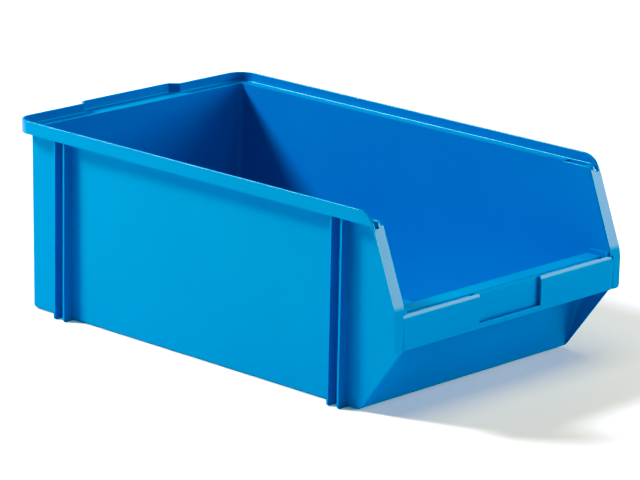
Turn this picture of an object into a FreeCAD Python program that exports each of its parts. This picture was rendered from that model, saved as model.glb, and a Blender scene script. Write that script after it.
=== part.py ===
import FreeCAD, Part
import math
import os
import re

import Sketcher

# Open-fronted stacking bin, moulded in one plastic, as a FreeCAD document in millimetres.
# X runs across the bin, Y along it with the picking front at -Y, and Z up. The origin is the middle of
# the footprint, on the floor. Each moulded member is an object of its own; members meet face to face.

doc = FreeCAD.newDocument("StackingBin")

# Driving dimensions. Every other size is an expression of these cells.
SIZES = {
    "width": 310,              # over the rims
    "length": 510,             # hanging lip to label plates
    "height": 190,             # floor to the top of the rims
    "wall": 2,                 # thickness of the side and back walls
    "front_wall": 2.8,         # thickness of the front wall
    "floor_thickness": 3,
    "draft": 1.4,              # how far the side and back walls open out over the full height
    "side_overhang": 11.6,     # outside of the side wall to the outside of the rim, at the top
    "back_overhang": 11,       # the same behind the back wall
    "bottom_radius": 4.6,      # lower edges and upright back corners
    "corner_split": 135,       # half width of the back wall, which lies between the side walls' corners
    "rim_wall": 2.5,
    "rim_depth": 12.5,
    "rim_radius": 20,          # the rims' corners in plan, and their front ends from the side
    "rim_return": 6,           # the rim's lower edge turns down the post with this radius
    "rim_foot": 173,           # the front ends of the rims stand on the posts here
    "rim_split": 215,          # the side and back lengths of the rim meet here
    "rim_round": 0.6,          # top edges of the rims; it fades out down their front ends
    "rim_round_end": 0.2,
    "ledge_drop": 9.5,         # top of the rim to the top of the ledge
    "step_out": 8,             # hanging lip beyond the rest of the back rim
    "step_half": 58,           # half width of the hanging lip's outer face
    "bevel": 0.414,            # tangent of half the turn where the lip steps out
    "slot_start": 192,         # the side ledges are cut away ahead of this
    "bead": 1.2,               # what is left of the ledge beside the cut
    "bead_front": 223,
    "bead_round": 2.5,
    "ledge_cove": 1.2,         # radius between ledge and upstand
    "nib_length": 20,          # low nib on the ledge's inner edge, behind the cut
    "nib_height": 0.8,
    "nib_inset": 0.3,
    "nib_width": 1.5,
    "floor_front": 190,        # the floor ends here, behind the front wall's foot
    "front_top": 100,          # top of the front wall
    "front_run": 0.29,         # lean of the front wall, forward for each mm of height
    "front_foot": 204,         # the front wall's outside meets the floor plane here
    "front_radius": 11,
    "front_stretch": 1.04,     # length along Y through the front wall, for each mm of thickness
    "cove_foot": 10,           # the coves between front wall and cheeks start here
    "cove_start": 0.5,         # with this radius
    "cove_end": 12,            # and end under the bar with this one
    "bar_front": 247.8,        # front edge of the flange along the front wall
    "bar_round": 2.6,
    "bar_cove": 4,             # radius where the flange runs into the cheeks
    "bar_strip": 1.8,          # width of the strip along the wall, from the end of the flange to the post
    "bar_strip_rear": 239.6,
    "bar_strip_top": 104.5,
    "cheek_foot": 202.5,       # the cheek's lower edge starts here on the floor plane
    "cheek_tip": 254,          # and ends here under the label holder
    "cheek_radius": 16,
    "cheek_round": 1.2,        # outer edge of the cheeks
    "wall_shoulder": 7,        # radius where the side wall's top edge turns down the post
    "kink": 103,               # the posts are upright below this and lean back above it
    "kink_radius": 36,
    "post_run": 0.385,         # lean of the posts, backward for each mm of height
    "post_round": 0.8,         # inner edge of the posts and of the side wall's shoulder
    "post_top": 175.4,
    "post_radius": 4,
    "head_rear": 218,          # the posts' heads reach back to the end of the cut
    "web_inner": 145.6,        # half width between the upright webs of the heads
    "web_outer": 148.2,
    "web_round": 1.3,
    "lip_bottom": 68,          # underside of the label holder
    "plate": 2.5,              # thickness of the label plates
    "plate_top": 100.5,
    "plate_end": 144.4,
    "crown_height": 3.3,       # at the top, the front faces of plates and panel lean back over this height,
    "plate_crown": 1.9,        # by this much on the plates
    "panel_crown": 0.8,        # and this much on the panel,
    "crown_radius": 12,        # and curve into it with this radius
    "groove_radius": 4.5,      # the shallow groove between a label plate and its post
    "groove_depth": 0.8,       # at its foot; it runs out at the top
    "groove_lean": 1.3,        # degrees
    "window_half": 42,
    "slot": 1.2,               # room for a label behind the plates
    "panel": 2.5,              # thickness of the panel in the window and of the shelf under it
    "panel_lap": 3,            # how far the panel runs behind each plate
    "panel_top": 100.4,
    "sill_top": 73,
    "sill_round": 0.8,
    "fin_reach": 152.4,        # half width over the fins
    "fin_thickness": 2.2,
    "fin_round": 2,
    "fin_rear": 191.3,         # middle of the rearmost fin
    "fin_front": 185.4,        # middle of the foremost fin, ahead of the origin
    "fin_pitch": 12.9,         # between the two fins of a pair
}

sheet = doc.addObject("Spreadsheet::Sheet", "Sizes")
for row, (alias, value) in enumerate(SIZES.items(), start=1):
    sheet.set(f"A{row}", alias)
    sheet.set(f"B{row}", str(value))
    sheet.setAlias(f"B{row}", alias)
doc.recompute()


def bound(text):
    """Point the sizes named in an expression at their cells."""
    return re.sub(r"[a-z_]+", lambda word: f"Sizes.{word[0]}" if word[0] in SIZES else word[0], str(text))


def block(name, x, y, z):
    """A box between pairs of expressions."""
    solid = doc.addObject("Part::Box", name)
    for size, axis, (low, high) in zip(("Length", "Width", "Height"), "xyz", (x, y, z)):
        solid.setExpression(size, bound(f"({high}) - ({low})"))
        solid.setExpression(f"Placement.Base.{axis}", bound(low))
    return solid


def frustum(name, bottom, top, x, back, front):
    """A tapered block from z = bottom to top; x, back and front are pairs, at the bottom and the top."""
    solid = doc.addObject("Part::Wedge", name)
    solid.Placement = FreeCAD.Placement(FreeCAD.Vector(), FreeCAD.Rotation(FreeCAD.Vector(1, 0, 0), 90))
    limits = {"Ymin": bottom, "Ymax": top,
              "Xmin": f"-({x[0]})", "Xmax": x[0], "X2min": f"-({x[1]})", "X2max": x[1],
              "Zmin": f"-({back[0]})", "Zmax": front[0], "Z2min": f"-({back[1]})", "Z2max": front[1]}
    for limit, text in limits.items():
        solid.setExpression(limit, bound(text))
    return solid


def joined(kind, name, base, tools):
    """Part::Cut, Part::Common or Part::Fuse of an object with one tool after another."""
    for number, tool in enumerate(tools, start=1):
        label = name if number == len(tools) else f"{name}_{kind[6:].lower()}_{number}"
        result = doc.addObject(kind, label)
        result.Base = base
        result.Tool = tool
        base = result
    return base


def cut(name, base, *tools):
    return joined("Part::Cut", name, base, tools)


def common(name, base, *tools):
    return joined("Part::Common", name, base, tools)


def fused(name, base, *tools):
    return joined("Part::Fuse", name, base, tools)


def rounded(name, base, choose):
    """Round the edges for which choose(edge) gives a radius, or a pair of radii along the edge."""
    doc.recompute()
    edges = []
    for number, edge in enumerate(base.Shape.Edges, start=1):
        radius = choose(edge)
        if radius:
            first, last = radius if isinstance(radius, tuple) else (radius, radius)
            edges.append((number, first, last))
    result = doc.addObject("Part::Fillet", name)
    result.Base = base
    result.Edges = edges
    return result


def size(alias):
    return float(sheet.get(alias))


def outline(name, role, corners, low, high, radii=None):
    """A body: a closed outline of straight lines, padded from low to high, with some corners rounded.

    role is the origin plane. corners are pairs of expressions in that plane, and radii gives the
    radius, as an expression, at the corners that are rounded.
    """
    body = doc.addObject("PartDesign::Body", name)
    sketch = body.newObject("Sketcher::SketchObject", f"{name}_sketch")
    plane = next(feature for feature in body.Origin.OriginFeatures if feature.Role == role)
    sketch.AttachmentSupport = [(plane, "")]
    sketch.MapMode = "FlatFace"
    sketch.setExpression("AttachmentOffset.Base.z", bound(low))
    count = len(corners)
    # The corners start on a circle, in order, and the dimensions then place them.
    start = [FreeCAD.Vector(math.cos(turn), math.sin(turn), 0) * size("width")
             for turn in (2 * math.pi * number / count for number in range(count))]
    for number in range(count):
        sketch.addGeometry(Part.LineSegment(start[number], start[(number + 1) % count]))
    for number in range(count):
        sketch.addConstraint(Sketcher.Constraint("Coincident", number, 2, (number + 1) % count, 1))
    for number, corner in enumerate(corners):
        for kind, value, text in zip(("DistanceX", "DistanceY"), start[number], corner):
            index = sketch.addConstraint(Sketcher.Constraint(kind, -1, 1, number, 1, value))
            sketch.setExpression(f"Constraints[{index}]", bound(text))
    doc.recompute()
    pad = body.newObject("PartDesign::Pad", f"{name}_pad")
    pad.Profile = sketch
    pad.setExpression("Length", bound(f"({high}) - ({low})"))
    doc.recompute()
    places = [sketch.Placement.multVec(line.StartPoint) for line in sketch.Geometry]
    for radius in sorted(set((radii or {}).values())):
        wanted = [places[number] for number, value in radii.items() if value == radius]
        base = body.Tip
        names = [f"Edge{number}" for number, edge in enumerate(base.Shape.Edges, start=1)
                 if any(stands_on(edge, sketch.Placement, place) for place in wanted)]
        fillet = body.newObject("PartDesign::Fillet", f"{name}_fillet")
        fillet.Base = (base, names)
        fillet.setExpression("Radius", bound(radius))
        doc.recompute()
    return body


def stands_on(edge, placement, place):
    """Whether a straight edge runs square to the sketch through a corner of it."""
    local = [placement.inverse().multVec(vertex.Point) for vertex in edge.Vertexes]
    corner = placement.inverse().multVec(place)
    return len(local) == 2 and all(math.hypot(end.x - corner.x, end.y - corner.y) < 0.01 for end in local)


# Faces that several members share, as expressions.
half = "width / 2"
front = "length / 2"
rim_back = "(length / 2 - step_out)"
lip_back = "length / 2"
rim_inner = "(width / 2 - rim_wall)"
rim_back_inner = "(length / 2 - step_out - rim_wall)"
ledge_top = "(height - ledge_drop)"
ledge_under = "(height - rim_depth)"
wall_top = "(width / 2 - side_overhang)"
wall_foot = "(width / 2 - side_overhang - draft)"
back_top = "(length / 2 - step_out - back_overhang)"
back_foot = "(length / 2 - step_out - back_overhang - draft)"
far = "(length)"                       # beyond every face of the bin
front_face = "(front_foot + front_run * height)"
wall_run = "(front_wall * front_stretch)"    # the front wall's thickness measured along Y
bar_under = "(front_top - floor_thickness)"
plate_back = "(-length / 2 + plate)"   # rear face of the label plates and of the posts' lower part
panel_front = "(-length / 2 + plate + slot)"
lip_end = "(step_half + step_out)"
# The hanging lip's inner face, from its middle part to where it joins the back rim.
LIP_INNER = [("(step_half - rim_wall * bevel)", "(length / 2 - rim_wall)"),
             (f"({lip_end} - rim_wall * bevel)", rim_back_inner)]
SIGNS = {"left": "-1", "right": "1"}
FINS = {1: "fin_rear", 2: "fin_rear - fin_pitch", 3: "fin_pitch - fin_front", 4: "-fin_front"}


def post_line(level, behind="0"):
    """Y of the posts' front face, or of a face behind it, at a level above the kink."""
    return f"-(length / 2 - post_run * (({level}) - kink)) + {behind}"


def sided(side, near, away):
    """The X range from near to away on one side, as a low and high pair."""
    return (near, away) if side == "right" else (f"-({away})", f"-({near})")


def mirrored(corners):
    """A symmetric outline from the corners of its right half."""
    return corners + [(f"-{across}", along) for across, along in reversed(corners)]


def level_at(edge, z):
    """Whether an edge lies level at this Z."""
    box = edge.BoundBox
    return abs(box.ZMin - z) < 0.01 and abs(box.ZMax - z) < 0.01


def on_line(edge, y, z):
    """Whether an edge runs along X at this Y and Z."""
    box = edge.BoundBox
    return level_at(edge, z) and box.XLength > 5 and abs(box.YMin - y) < 0.01 and abs(box.YMax - y) < 0.01


def ahead_of_post(point):
    """How far a point lies ahead of the straight lines of the posts' front face."""
    run = size("post_run") * max(0, point.z - size("kink"))
    return -(point.y + size("length") / 2 - run)


def bottom_and_corner_radii(edge):
    """For the bottom edges along the sides and back, and the two upright back corners."""
    box = edge.BoundBox
    if box.ZMax < 0.01 and box.YMax > 0:
        return size("bottom_radius")
    return corner_radius(edge)


def corner_radius(edge):
    """For the two upright back corners."""
    box = edge.BoundBox
    return size("bottom_radius") if box.ZLength > size("height") / 2 and box.YMin > 0 else None


def cove_radii(edge):
    """For the two corners between front wall and cheeks: a radius that grows upwards."""
    box = edge.BoundBox
    if box.ZLength < size("height") / 4 or box.YMin < -size("length") / 2:
        return None
    start, end = size("cove_start"), size("cove_end")
    return (end, start) if edge.Vertexes[0].Z < edge.Vertexes[1].Z else (start, end)


# Solids that only shape the members: the tub's outside and inside, and what is behind the front wall.
outer_sharp = frustum("outer_sharp", "0", "height", (wall_foot, wall_top), (back_foot, back_top), (far, far))
inner_sharp = frustum("inner_sharp", "0", "height", (f"{wall_foot} - wall", f"{wall_top} - wall"),
                      (f"{back_foot} - wall", f"{back_top} - wall"), (far, far))
outer = rounded("outer", outer_sharp, bottom_and_corner_radii)
inner = rounded("inner", inner_sharp, corner_radius)
shell = cut("shell", outer, inner)
behind_front = frustum("behind_front", "0", "height", (half, half), ("0", "0"), ("front_foot", front_face))
behind_inner = frustum("behind_inner", "0", "height", (half, half), ("0", "0"),
                       (f"front_foot - {wall_run}", f"{front_face} - {wall_run}"))


def floor_panel():
    plate = block("floor_plate", (f"-({half})", half), ("-floor_front", back_top), ("0", "floor_thickness"))
    return common("floor_panel", plate, inner, outer)


def back_wall():
    slab = block("back_slab", ("-corner_split", "corner_split"), ("rim_split", lip_back),
                 ("0", ledge_under))
    return common("back_wall", slab, shell)


def side_profile():
    """The side walls' outline: foot, cheek, upright and leaning front, and top."""
    corners = [("length", "0"), ("-cheek_foot", "0"), ("-cheek_tip", "lip_bottom"),
               (plate_back, "lip_bottom"), (plate_back, "kink"),
               (post_line("post_top", "plate"), "post_top"), (post_line("post_top"), "post_top"),
               (post_line(ledge_top), ledge_top), ("length", ledge_top)]
    return outline("side_profile", "YZ_Plane", corners, f"-({half})", half,
                   {1: "cheek_radius", 7: "wall_shoulder"})


def side_wall(side, profile):
    """One side wall with its back corner and its cheek. Ahead of the cut it passes the ledge and rises."""
    x = sided(side, "corner_split", half)
    half_shell = block(f"{side}_half", x, ("-(length)", "length"), ("0", "height"))
    under_ledge = block(f"{side}_under_ledge", x, ("-slot_start", "length"), (ledge_under, "height"))
    sharp = cut(f"{side}_wall_sharp", common(f"{side}_shell", shell, half_shell, profile), under_ledge)
    middle = size("width") / 2 - size("side_overhang") - size("wall") / 2
    middle_foot = middle - size("draft")

    def soft_edge(edge):
        box = edge.BoundBox
        ahead = box.YMax < -size("slot_start")
        cheek = ahead and box.ZLength > size("lip_bottom") / 2 and box.ZMax < size("kink")
        if cheek and box.YLength > size("front_radius") and abs(edge.CenterOfMass.x) > middle_foot:
            return size("cheek_round")
        inside = abs(edge.CenterOfMass.x) < middle - 0.01 and box.XLength < size("post_round")
        risen = box.ZMin > size("post_top") - 0.01 and box.YMax < 0.01 - size("slot_start")
        return size("post_round") if inside and risen and box.YLength > 0.1 else None

    return rounded(f"{side}_wall", sharp, soft_edge)


def front_wall():
    """The leaning front wall with its rounded foot, and a cove into each cheek that widens upwards."""
    lean = f"-(front_foot + front_run * {bar_under})"
    corners = [("-floor_front", "0"), ("-front_foot", "0"),
               (lean, bar_under), (f"{lean} + {wall_run}", bar_under),
               (f"-(front_foot + front_run * floor_thickness) + {wall_run}", "floor_thickness"),
               ("-floor_front", "floor_thickness")]
    slab = outline("front_slab", "YZ_Plane", corners, f"-({half})", half,
                   {1: "front_radius", 4: "front_radius - floor_thickness"})
    space_sharp = frustum("front_space_sharp", "cove_foot", bar_under,
                          (f"{wall_foot} - wall + draft * cove_foot / height",
                           f"{wall_foot} - wall + draft * {bar_under} / height"),
                          ("-(front_foot + front_run * cove_foot)", lean), (far, far))
    space = rounded("front_space", space_sharp, cove_radii)
    zone = block("cove_zone", (f"-({half})", half), (plate_back, "-front_foot"), ("cove_foot", bar_under))
    coves = cut("coves", common("cove_block", zone, inner), behind_front, space)
    return fused("front_wall", common("front_slab_trimmed", slab, inner, outer), coves)


def bar_cove(side):
    """The concave run of the flange into one cheek, and the strip on the wall at its front end."""
    wall_here = f"({wall_foot} - wall + draft * (front_top + bar_cove) / height)"
    fill = block(f"{side}_bar_fill", sided(side, f"{wall_here} - bar_cove", half),
                 (plate_back, "-floor_front"), (bar_under, "front_top + bar_cove"))
    strip = block(f"{side}_bar_strip", sided(side, f"{wall_here} - bar_strip", half),
                  (plate_back, "-bar_strip_rear"), (bar_under, "bar_strip_top"))
    hollow = doc.addObject("Part::Cylinder", f"{side}_bar_hollow")
    hollow.Placement = FreeCAD.Placement(FreeCAD.Vector(), FreeCAD.Rotation(FreeCAD.Vector(1, 0, 0), 90))
    hollow.setExpression("Radius", bound("bar_cove"))
    hollow.setExpression("Height", bound("length"))
    hollow.setExpression("Placement.Base.x", bound(f"{SIGNS[side]} * ({wall_here} - bar_cove)"))
    hollow.setExpression("Placement.Base.z", bound("front_top + bar_cove"))
    cove = cut(f"{side}_bar_cove", common(f"{side}_bar_fill_trimmed", fill, inner), hollow, behind_inner)
    return fused(f"{side}_bar_end", cove, common(f"{side}_bar_strip_trimmed", strip, inner))


def front_bar():
    """The flange along the front wall, with its front edge rounded."""
    flange = block("bar_flange", (f"-({half})", half), ("-bar_front", "-floor_front"),
                   (bar_under, "front_top"))
    sharp = cut("bar_sharp", common("bar_trimmed", flange, inner), behind_inner)
    soft = rounded("bar_soft", sharp, lambda edge: size("bar_round") if on_line(
        edge, -size("bar_front"), size("front_top")) else None)
    return fused("front_bar", soft, bar_cove("left"), bar_cove("right"))


def holder_shelf(wall_solid):
    web = block("holder_web", (f"-({half})", half), (plate_back, "-floor_front"),
                ("lip_bottom", "lip_bottom + panel"))
    return cut("holder_shelf", common("holder_web_trimmed", web, inner), behind_front, wall_solid)


def crowned(name, x, y, z, crown):
    """An upright plate along X, between pairs of expressions. Its front face curves back at the top."""
    (ahead, behind), (low, top) = y, z
    corners = [(ahead, low), (ahead, f"{top} - crown_height"), (f"{ahead} + {crown}", top),
               (behind, top), (behind, low)]
    return outline(name, "YZ_Plane", corners, *x, {1: "crown_radius"})


def groove(side):
    """Cuts the shallow groove between a label plate and its post."""
    tool = doc.addObject("Part::Cylinder", f"{side}_groove")
    tool.setExpression("Radius", bound("groove_radius"))
    tool.setExpression("Height", bound("height"))
    tool.setExpression("Placement.Base.x", bound(f"{SIGNS[side]} * plate_end"))
    tool.setExpression("Placement.Base.y", bound("groove_depth - groove_radius - length / 2"))
    tool.setExpression("Placement.Base.z", bound("lip_bottom - 1"))
    tool.Placement.Rotation = FreeCAD.Rotation(FreeCAD.Vector(1, 0, 0), size("groove_lean"))
    return tool


def label_plate(side, groove_tool):
    """A front plate of the label holder, rounded along its top."""
    plate = crowned(f"{side}_plate_whole", sided(side, "window_half", "plate_end"),
                    (f"-{front}", plate_back), ("lip_bottom", "plate_top"), "plate_crown")
    return cut(f"label_plate_{side}", plate, groove_tool)


def label_window_panel():
    return crowned("label_window_panel", ("-window_half - panel_lap", "window_half + panel_lap"),
                   (panel_front, f"{panel_front} + panel"), ("lip_bottom + panel", "panel_top"),
                   "panel_crown")


def label_sill():
    sharp = block("sill_sharp", ("-window_half", "window_half"), (f"-{front}", plate_back),
                  ("lip_bottom", "sill_top"))
    return rounded("label_sill", sharp, lambda edge: size("sill_round") if on_line(
        edge, -size("length") / 2, size("sill_top")) else None)


def head(name, x, top, radius=None):
    """What stands behind the top of a post, up to a level, and ends where the cut in the ledge does."""
    corners = [("-head_rear", "post_top - plate"),
               (post_line("post_top - plate", "plate"), "post_top - plate"),
               (post_line("post_top", "plate"), "post_top")]
    if top != "post_top":
        corners += [(post_line("post_top"), "post_top"), (post_line(top), top)]
    corners.append(("-head_rear", top))
    whole = outline(f"{name}_whole", "YZ_Plane", corners, *x, {4: radius} if radius else {})
    return cut(name, whole, outer)


def post(side, groove_tool):
    """The front face of a side wall: upright beside the label holder, leaning back above it."""
    corners = [(post_line("post_top"), "post_top"), (f"-{front}", "kink"), (f"-{front}", "lip_bottom"),
               (plate_back, "lip_bottom"), (plate_back, "kink"),
               (post_line("post_top", "plate"), "post_top")]
    strip = outline(f"{side}_post_strip", "YZ_Plane", corners, *sided(side, "corner_split", half),
                    {1: "kink_radius"})
    beside = block(f"{side}_post_beside", sided(side, "corner_split", "plate_end"),
                   (f"-{front} - plate", f"{plate_back} + plate"), ("0", "plate_top"))
    under_rim = block(f"{side}_rim_place", sided(side, rim_inner, half), ("-length", "0"),
                      ("rim_foot", "height"))
    sharp = cut(f"{side}_post_sharp", strip, inner, beside, under_rim)
    outside = size("width") / 2

    def lower_corner(edge):
        box = edge.BoundBox
        low = box.YLength > 1 and box.ZMax < size("lip_bottom") + 0.01
        return size("post_radius") if low and abs(abs(edge.CenterOfMass.x) - outside) < 0.01 else None

    def inner_edge(edge):
        ahead = min(ahead_of_post(vertex.Point) for vertex in edge.Vertexes) > -0.5
        above = edge.CenterOfMass.z > size("plate_top") and edge.BoundBox.ZLength > size("post_round")
        inside = abs(edge.CenterOfMass.x) < size("web_inner")
        return size("post_round") if ahead and above and inside else None

    soft = rounded(f"{side}_post_soft", rounded(f"{side}_post_corner", sharp, lower_corner), inner_edge)
    soft = cut(f"{side}_post_grooved", soft, groove_tool)
    pocket_floor = head(f"{side}_pocket_floor", sided(side, "corner_split", rim_inner), "post_top")
    shoulder = head(f"{side}_shoulder", sided(side, "corner_split", "web_inner"), ledge_top, "wall_shoulder")
    web = head(f"{side}_web", sided(side, "web_inner", "web_outer"), ledge_top, "web_round")
    return fused(f"{side}_post", soft, pocket_floor, shoulder, web)


def side_rim(side):
    """The upstand along one side. Its front end curves down onto the post."""
    corners = [("rim_split", "height"), (post_line("height"), "height"),
               (post_line("rim_foot"), "rim_foot"), (post_line("rim_foot", "plate"), "rim_foot"),
               (post_line(ledge_under, "plate"), ledge_under),
               ("rim_split", ledge_under)]
    sharp = outline(f"{side}_rim_sharp", "YZ_Plane", corners, *sided(side, rim_inner, half),
                    {1: "rim_radius", 4: "rim_return"})

    def top_and_front(edge):
        box = edge.BoundBox
        ends = [ahead_of_post(vertex.Point) > -0.01 or vertex.Point.z > size("height") - 0.01
                for vertex in edge.Vertexes]
        if box.XLength > 0.01 or box.YLength < 1 or not all(ends):
            return None
        if box.ZMin > size("rim_foot") + 0.01:
            return size("rim_round")
        fading = (size("rim_round"), size("rim_round_end"))
        return fading if edge.Vertexes[0].Z > edge.Vertexes[1].Z else fading[::-1]

    return rounded(f"{side}_rim", sharp, top_and_front)


def back_rim(side):
    """A length of the back upstand, round the corner to the step of the hanging lip."""
    corners = [(half, "rim_split"), (half, rim_back), (lip_end, rim_back), (lip_end, rim_back_inner),
               (rim_inner, rim_back_inner), (rim_inner, "rim_split")]
    corners = [(f"{SIGNS[side]} * {across}", along) for across, along in corners]
    sharp = outline(f"back_rim_{side}_sharp", "XY_Plane", corners, ledge_under, "height",
                    {1: "rim_radius", 4: "rim_radius - rim_wall"})
    return rounded(f"back_rim_{side}", sharp, upstand_top)


def upstand_top(edge):
    """For the top edges along the back upstand, but not those where its lengths meet."""
    if not level_at(edge, size("height")):
        return None
    joint = all(abs(vertex.Point.y - size("rim_split")) < 0.01 for vertex in edge.Vertexes) or all(
        abs(abs(vertex.Point.x) - size("step_half") - size("step_out")) < 0.01 for vertex in edge.Vertexes)
    return None if joint else size("rim_round")


def hanging_lip():
    """The middle of the back upstand, stepped out to hang over a rail."""
    corners = [("step_half", lip_back), (lip_end, rim_back), (lip_end, rim_back_inner),
               *reversed(LIP_INNER)]
    sharp = outline("hanging_lip_sharp", "XY_Plane", mirrored(corners), ledge_under, "height")
    return rounded("hanging_lip", sharp, upstand_top)


def inside_upstand(name, top, forward):
    """What the upstand surrounds, from the ledges up to a level and as far forward as a Y."""
    corners = [*LIP_INNER, (rim_inner, rim_back_inner), (rim_inner, forward)]
    return outline(name, "XY_Plane", mirrored(corners), ledge_top, top,
                   {2: "rim_radius - rim_wall", 5: "rim_radius - rim_wall"})


def ledge_cove():
    """The small concave radius between all the ledges and the upstand."""
    def bottom(edge):
        low = level_at(edge, size("height") - size("ledge_drop"))
        return size("ledge_cove") if low and edge.BoundBox.YMax > -size("head_rear") else None

    space = rounded("upstand_space", inside_upstand("upstand_space_sharp", "height", "-length / 2"), bottom)
    filled = inside_upstand("ledge_cove_sharp", f"{ledge_top} + ledge_cove", "-head_rear")
    return cut("ledge_cove", filled, space)


def side_ledge(side, cove):
    """The stacking ledge along one side, cut away at the front but for a bead on the upstand."""
    x = sided(side, "corner_split", rim_inner)
    shelf = block(f"{side}_shelf", x, ("-slot_start", "rim_split"), (ledge_under, ledge_top))
    corners = [("-slot_start", ledge_top), ("-bead_front", ledge_top), ("-bead_front", ledge_under),
               ("-slot_start", ledge_under)]
    bead = outline(f"{side}_bead", "YZ_Plane", corners, *sided(side, f"{rim_inner} - bead", rim_inner),
                   {1: "bead_round"})
    edge = f"{wall_top} - wall + nib_inset"
    nib = block(f"{side}_nib", sided(side, edge, f"{edge} + nib_width"),
                ("-slot_start", "-slot_start + nib_length"), (ledge_top, f"{ledge_top} + nib_height"))
    zone = block(f"{side}_cove_zone", x, ("-head_rear", "rim_split"), (ledge_top, "height"))
    return fused(f"{side}_ledge", cut(f"{side}_shelf_trimmed", shelf, inner), bead, nib,
                 common(f"{side}_ledge_cove", cove, zone))


def back_ledge(cove):
    """The ledge behind the bin and round its back corners, wider behind the hanging lip."""
    corners = [*LIP_INNER, (rim_inner, rim_back_inner), (rim_inner, "rim_split")]
    plate = outline("back_plate", "XY_Plane", mirrored(corners), ledge_under, ledge_top,
                    {2: "rim_radius - rim_wall", 5: "rim_radius - rim_wall"})
    zone = block("back_cove_zone", (f"-({half})", half), ("rim_split", lip_back), (ledge_top, "height"))
    ledge = cut("back_plate_trimmed", plate, inner)
    return fused("back_ledge", ledge, common("back_ledge_cove", cove, zone))


def guide_fin(side, number):
    """A fin that locates the bin on the ledge of the one below."""
    blade = block(f"{side}_blade_{number}", sided(side, "corner_split", "fin_reach"),
                  (f"{FINS[number]} - fin_thickness / 2", f"{FINS[number]} + fin_thickness / 2"),
                  ("0", ledge_under))
    tip = size("fin_reach") * float(SIGNS[side])

    def foot(edge):
        box = edge.BoundBox
        at_tip = abs(box.XMin - tip) + abs(box.XMax - tip) < 0.01
        return size("fin_round") if box.ZMax < 0.01 and at_tip else None

    soft = rounded(f"{side}_soft_blade_{number}", blade, foot)
    return cut(f"{side}_fin_{number}", soft, outer)


def build_members():
    profile = side_profile()
    front_solid = front_wall()
    cove = ledge_cove()
    members = [floor_panel(), back_wall(), front_solid, front_bar(), holder_shelf(front_solid),
               label_window_panel(), label_sill(), hanging_lip(), back_ledge(cove)]
    for side in SIGNS:
        groove_tool = groove(side)
        members += [side_wall(side, profile), label_plate(side, groove_tool), post(side, groove_tool),
                    side_rim(side), back_rim(side), side_ledge(side, cove)]
        members += [guide_fin(side, number) for number in FINS]
    return members


def check_and_export(members):
    doc.recompute()
    failed = [thing.Label for thing in doc.Objects if {"Invalid", "Error"} & set(thing.State)]
    if failed:
        raise RuntimeError(f"objects that failed: {failed}")
    for member in members:
        shape = member.Shape
        if shape.isNull() or not shape.isValid() or len(shape.Solids) != 1:
            raise RuntimeError(f"{member.Label}: {len(shape.Solids)} solids, valid {shape.isValid()}")
    os.makedirs("parts", exist_ok=True)
    for member in members:
        member.Shape.exportStep(f"parts/{member.Label}.step")
        print(f"{member.Label:20s} {member.Shape.Volume / 1000:8.2f} cm3")


check_and_export(build_members())
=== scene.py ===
import math

import bpy
from mathutils import Matrix, Vector


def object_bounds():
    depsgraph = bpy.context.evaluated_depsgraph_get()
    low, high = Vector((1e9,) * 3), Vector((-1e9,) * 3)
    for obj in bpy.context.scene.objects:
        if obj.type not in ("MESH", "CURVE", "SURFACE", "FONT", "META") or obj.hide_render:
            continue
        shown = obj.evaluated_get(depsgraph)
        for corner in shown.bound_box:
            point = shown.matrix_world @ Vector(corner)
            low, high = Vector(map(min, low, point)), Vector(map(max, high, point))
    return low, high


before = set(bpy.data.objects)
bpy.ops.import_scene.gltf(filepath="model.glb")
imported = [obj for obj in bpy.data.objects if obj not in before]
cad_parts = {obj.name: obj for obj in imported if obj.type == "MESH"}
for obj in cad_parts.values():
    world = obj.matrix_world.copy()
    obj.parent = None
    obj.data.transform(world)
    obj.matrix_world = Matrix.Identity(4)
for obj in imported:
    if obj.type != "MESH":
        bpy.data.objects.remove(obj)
cad_low, cad_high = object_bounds()

# The camera stands this many degrees round and above the bin, and this far away in metres. Its lens and sensor are
# in millimetres. It aims at a point a little in front of the middle of the bin.
CAMERA_AZIMUTH, CAMERA_ELEVATION, CAMERA_ROLL = -46.437, 15.559, 1.145
CAMERA_DISTANCE = 3.4976
CAMERA_NEAR, CAMERA_FAR = 0.1, 50.0
LENS, SENSOR = 207.39, 36.0
AIM = (cad_low + cad_high) / 2 + Vector((0.0, -0.014918, -0.001721))

# Each soft box: its name, azimuth and elevation in degrees, width and height in metres, and power in watts.
LIGHT_DISTANCE = 3.0
LIGHTS = (
    ("key", 214, 39, 0.65, 0.65, 128),
    ("front_right", 46, 18, 2.1, 1.1, 59),
    ("top", 0, 85, 2.0, 2.0, 33),
    ("back_right", 134, 22, 3.0, 1.2, 12),
)

# The table and what is round it, in metres and in strengths of glow. SHOWN is a glow that shows as pure white.
# The table looks brighter from FADE_START outwards, and is that white from FADE_END.
SKY_GLOW, FLOOR_GLOW, SHOWN = 0.06, 0.1, 1.1
FLOOR_REACH = 12.0
FLOOR_GAP = 0.0002
FLOOR_WHITE, FLOOR_ROUGHNESS, FLOOR_SHINE = 0.9, 0.9, 0.1
FADE_START, FADE_END = 1.2, 3.0

# The plastic. Noise scales are per metre, and the depth of the grain is in metres.
BLUE_DEEP, BLUE_LIGHT = (0.0, 0.188, 0.518, 1), (0.0, 0.202, 0.546, 1)
CLOUD_SCALE, CLOUD_DETAIL, CLOUD_LOW, CLOUD_HIGH = 9.0, 3.0, 0.3, 0.7
GRAIN_SCALE, GRAIN_DETAIL, GRAIN_STRENGTH, GRAIN_DEPTH = 1400.0, 2.0, 0.12, 0.00004
RUB_SCALE, RUB_DETAIL, RUB_BREAKUP, RUB_LOW, RUB_HIGH = 38.0, 6.0, 0.65, 0.58, 0.74
ROUGHNESS_LOW, ROUGHNESS_HIGH, ROUGHNESS_RUBBED = 0.31, 0.35, 0.40
REFRACTION, SHINE = 1.49, 0.4

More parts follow.
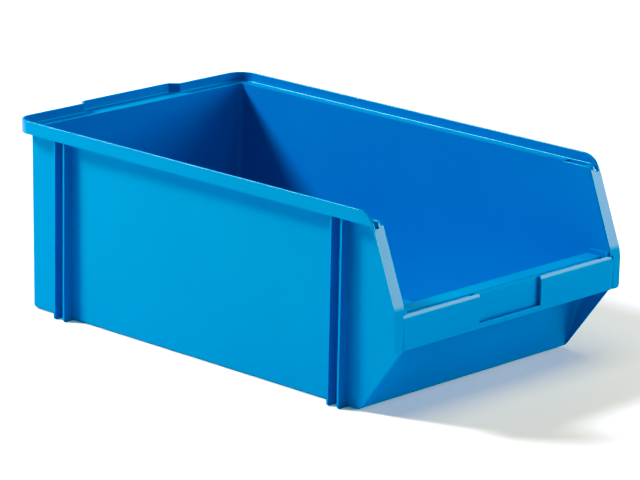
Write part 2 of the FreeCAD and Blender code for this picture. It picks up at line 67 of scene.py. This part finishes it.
# Tone curves of the view for red, green and blue: the level of a colour, and the level it is shown at.
CURVES = (
    ((0.095, 0.0), (0.21, 0.17), (0.45, 0.45)),
    ((0.03, 0.026), (0.1, 0.083), (0.16, 0.152), (0.3, 0.33), (0.6, 0.62)),
    ((0.1, 0.095), (0.3, 0.3), (0.4, 0.415), (0.5, 0.545), (0.74, 0.685)),
)


def direction(azimuth, elevation):
    """Unit vector from the bin towards this azimuth and elevation in degrees. Azimuth 0 is in front, at -Y."""
    turn, rise = math.radians(azimuth), math.radians(elevation)
    return Vector((math.sin(turn) * math.cos(rise), -math.cos(turn) * math.cos(rise), math.sin(rise)))


def make_camera():
    data = bpy.data.cameras.new("camera")
    data.lens, data.sensor_width = LENS, SENSOR
    data.clip_start, data.clip_end = CAMERA_NEAR, CAMERA_FAR
    camera = bpy.data.objects.new("camera", data)
    bpy.context.scene.collection.objects.link(camera)
    back = direction(CAMERA_AZIMUTH, CAMERA_ELEVATION)
    turn, roll = math.radians(CAMERA_AZIMUTH), math.radians(CAMERA_ROLL)
    level = Vector((math.cos(turn), math.sin(turn), 0.0))
    rise = back.cross(level)
    right = level * math.cos(roll) + rise * math.sin(roll)
    up = rise * math.cos(roll) - level * math.sin(roll)
    camera.matrix_world = Matrix((right, up, back)).transposed().to_4x4()
    camera.location = AIM + back * CAMERA_DISTANCE
    bpy.context.scene.camera = camera


def make_light(name, azimuth, elevation, width, height, power):
    """A soft box that faces the point the camera aims at."""
    data = bpy.data.lights.new(name, "AREA")
    data.shape = "RECTANGLE"
    data.size, data.size_y = width, height
    data.energy = power
    light = bpy.data.objects.new(name, data)
    bpy.context.scene.collection.objects.link(light)
    away = direction(azimuth, elevation)
    light.location = AIM + away * LIGHT_DISTANCE
    light.rotation_mode = "QUATERNION"
    light.rotation_quaternion = away.to_track_quat("Z", "Y")


def mixed(tree, kind, factor, first, second):
    """The result of a Mix node, between two sockets or values."""
    node = tree.nodes.new("ShaderNodeMix")
    node.data_type = kind
    suffix = {"RGBA": "Color", "FLOAT": "Float"}[kind]
    inputs = {socket.identifier: socket for socket in node.inputs}
    outputs = {socket.identifier: socket for socket in node.outputs}
    for name, value in (("Factor_Float", factor), (f"A_{suffix}", first), (f"B_{suffix}", second)):
        if isinstance(value, bpy.types.NodeSocket):
            tree.links.new(value, inputs[name])
        else:
            inputs[name].default_value = value
    return outputs[f"Result_{suffix}"]


def noise(tree, place, scale, detail, roughness=0.5):
    node = tree.nodes.new("ShaderNodeTexNoise")
    node.inputs["Scale"].default_value = scale
    node.inputs["Detail"].default_value = detail
    node.inputs["Roughness"].default_value = roughness
    tree.links.new(place, node.inputs["Vector"])
    return node.outputs["Fac"]


def ranged(tree, value, low, high, to_low, to_high):
    """A value moved from one range to another, and held inside it."""
    node = tree.nodes.new("ShaderNodeMapRange")
    for name, number in (("From Min", low), ("From Max", high), ("To Min", to_low), ("To Max", to_high)):
        node.inputs[name].default_value = number
    tree.links.new(value, node.inputs["Value"])
    return node.outputs["Result"]


def object_place(tree):
    return tree.nodes.new("ShaderNodeTexCoord").outputs["Object"]


def glow(tree, given, shown):
    """A strength of glow that gives one light to the scene, and shows as another where it is seen directly."""
    path = tree.nodes.new("ShaderNodeLightPath")
    return mixed(tree, "FLOAT", path.outputs["Is Camera Ray"], given, shown)


def make_world():
    """A faint even light from all round, which shows as white."""
    world = bpy.data.worlds.new("studio")
    world.use_nodes = True
    tree = world.node_tree
    background = tree.nodes["Background"]
    background.inputs["Color"].default_value = (1, 1, 1, 1)
    tree.links.new(glow(tree, SKY_GLOW, SHOWN), background.inputs["Strength"])
    bpy.context.scene.world = world


def floor_material():
    """Matt white that glows a little, and shows as pure white far from the bin."""
    material = bpy.data.materials.new("floor_white")
    material.use_nodes = True
    tree = material.node_tree
    shader = tree.nodes["Principled BSDF"]
    shader.inputs["Base Color"].default_value = (FLOOR_WHITE, FLOOR_WHITE, FLOOR_WHITE, 1)
    shader.inputs["Roughness"].default_value = FLOOR_ROUGHNESS
    shader.inputs["Specular IOR Level"].default_value = FLOOR_SHINE
    shader.inputs["Emission Color"].default_value = (1, 1, 1, 1)
    distance = tree.nodes.new("ShaderNodeVectorMath")
    distance.operation = "LENGTH"
    tree.links.new(object_place(tree), distance.inputs[0])
    shown = ranged(tree, distance.outputs["Value"], FADE_START, FADE_END, FLOOR_GLOW, SHOWN)
    tree.links.new(glow(tree, FLOOR_GLOW, shown), shader.inputs["Emission Strength"])
    return material


def make_floor():
    """A wide white table, a hair below the bin."""
    mesh = bpy.data.meshes.new("floor")
    corners = [(-FLOOR_REACH, -FLOOR_REACH, 0), (FLOOR_REACH, -FLOOR_REACH, 0),
               (FLOOR_REACH, FLOOR_REACH, 0), (-FLOOR_REACH, FLOOR_REACH, 0)]
    mesh.from_pydata(corners, [], [(0, 1, 2, 3)])
    floor = bpy.data.objects.new("floor", mesh)
    floor.location.z = cad_low.z - FLOOR_GAP
    bpy.context.scene.collection.objects.link(floor)
    mesh.materials.append(floor_material())


def plastic():
    """Satin blue polypropylene: clouded pigment, an eroded mould texture, and a few rubbed patches."""
    material = bpy.data.materials.new("bin_plastic")
    material.use_nodes = True
    tree = material.node_tree
    shader = tree.nodes["Principled BSDF"]
    place = object_place(tree)
    cloud = noise(tree, place, CLOUD_SCALE, CLOUD_DETAIL)
    grain = noise(tree, place, GRAIN_SCALE, GRAIN_DETAIL)
    wear = noise(tree, place, RUB_SCALE, RUB_DETAIL, RUB_BREAKUP)
    lightness = ranged(tree, cloud, CLOUD_LOW, CLOUD_HIGH, 0.0, 1.0)
    tree.links.new(mixed(tree, "RGBA", lightness, BLUE_DEEP, BLUE_LIGHT), shader.inputs["Base Color"])
    roughness = ranged(tree, cloud, CLOUD_LOW, CLOUD_HIGH, ROUGHNESS_LOW, ROUGHNESS_HIGH)
    rubbed = ranged(tree, wear, RUB_LOW, RUB_HIGH, 0.0, 1.0)
    tree.links.new(mixed(tree, "FLOAT", rubbed, roughness, ROUGHNESS_RUBBED), shader.inputs["Roughness"])
    bump = tree.nodes.new("ShaderNodeBump")
    bump.inputs["Strength"].default_value = GRAIN_STRENGTH
    bump.inputs["Distance"].default_value = GRAIN_DEPTH
    tree.links.new(grain, bump.inputs["Height"])
    tree.links.new(bump.outputs["Normal"], shader.inputs["Normal"])
    shader.inputs["IOR"].default_value = REFRACTION
    shader.inputs["Specular IOR Level"].default_value = SHINE
    return material


def grade():
    """A plain view with a camera's contrast, and a toe on its red that keeps the blue as pure as a camera does."""
    view = bpy.context.scene.view_settings
    view.view_transform = "Standard"
    view.use_curve_mapping = True
    red, green, blue, _ = view.curve_mapping.curves
    for curve, points in zip((red, green, blue), CURVES):
        for level, shown in points:
            curve.points.new(level, shown)
    view.curve_mapping.update()


make_camera()
make_world()
make_floor()
for light in LIGHTS:
    make_light(*light)
grade()

material = plastic()
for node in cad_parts.values():
    node.data.materials.clear()
    node.data.materials.append(material)
